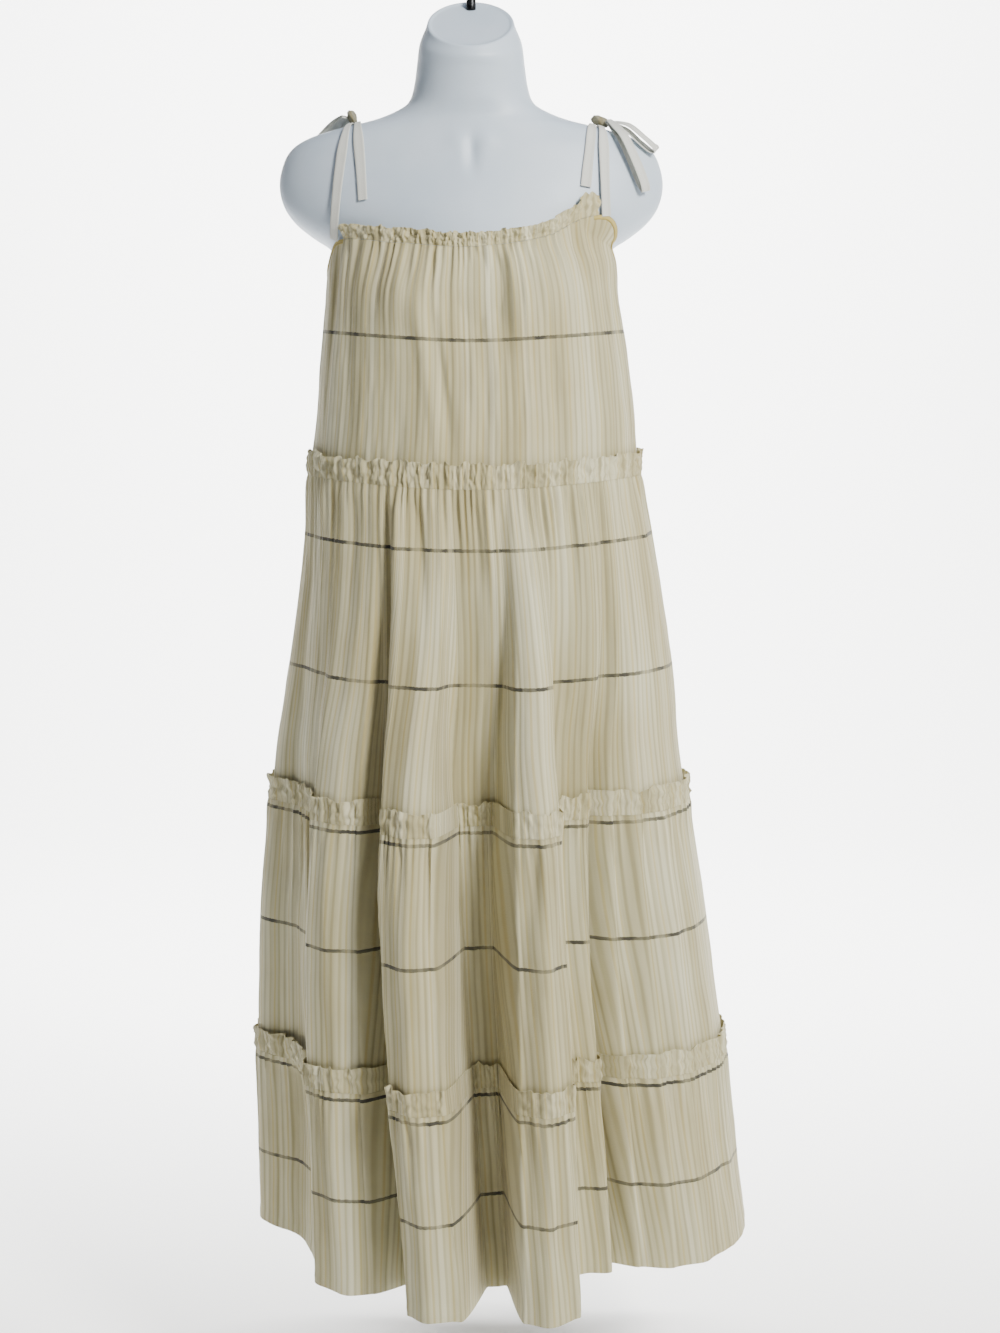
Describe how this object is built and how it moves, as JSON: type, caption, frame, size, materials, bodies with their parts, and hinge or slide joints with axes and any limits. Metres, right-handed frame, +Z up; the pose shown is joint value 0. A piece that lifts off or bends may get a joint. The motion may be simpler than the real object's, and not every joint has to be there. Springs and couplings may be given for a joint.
{
  "type": "maxi dress on a hanging torso form",
  "caption": "Sleeveless tiered maxi dress with knotted shoulder ties and frilled seams, hung on a limbless torso form with a wire hook.",
  "frame": {"origin": "underside of the hook's crown, where it hangs on a rail", "axes": "+Z up, against gravity as it hangs; the dress faces -Y; +X is the viewer's right and the wearer's left"},
  "size_m": [0.5632, 0.5033, 1.4518],
  "materials": {
    "striped_cotton": "cream and pale gold woven stripe, thin dark lines across",
    "moulded_form": "pale bluish white, satin",
    "hook_wire": "black, semi-gloss"
  },
  "bodies": {
    "root": {"tier_1_front": "striped_cotton", "tier_2_front": "striped_cotton", "tier_3_front": "striped_cotton", "tier_4_front": "striped_cotton", "neck_frill_front": "striped_cotton", "seam_frill_1_front": "striped_cotton", "seam_frill_2_front": "striped_cotton", "seam_frill_3_front": "striped_cotton", "tier_1_back": "striped_cotton", "tier_2_back": "striped_cotton", "tier_3_back": "striped_cotton", "tier_4_back": "striped_cotton", "neck_frill_back": "striped_cotton", "seam_frill_1_back": "striped_cotton", "seam_frill_2_back": "striped_cotton", "seam_frill_3_back": "striped_cotton", "strap_left_front": "striped_cotton", "strap_left_back": "striped_cotton", "knot_left": "striped_cotton", "loop_left_1": "striped_cotton", "loop_left_2": "striped_cotton", "tie_end_left_1": "striped_cotton", "tie_end_left_2": "striped_cotton", "strap_right_front": "striped_cotton", "strap_right_back": "striped_cotton", "knot_right": "striped_cotton", "loop_right_1": "striped_cotton", "loop_right_2": "striped_cotton", "tie_end_right_1": "striped_cotton", "tie_end_right_2": "striped_cotton", "torso_form": "moulded_form", "hook": "hook_wire"}
  },
  "joints": []
}
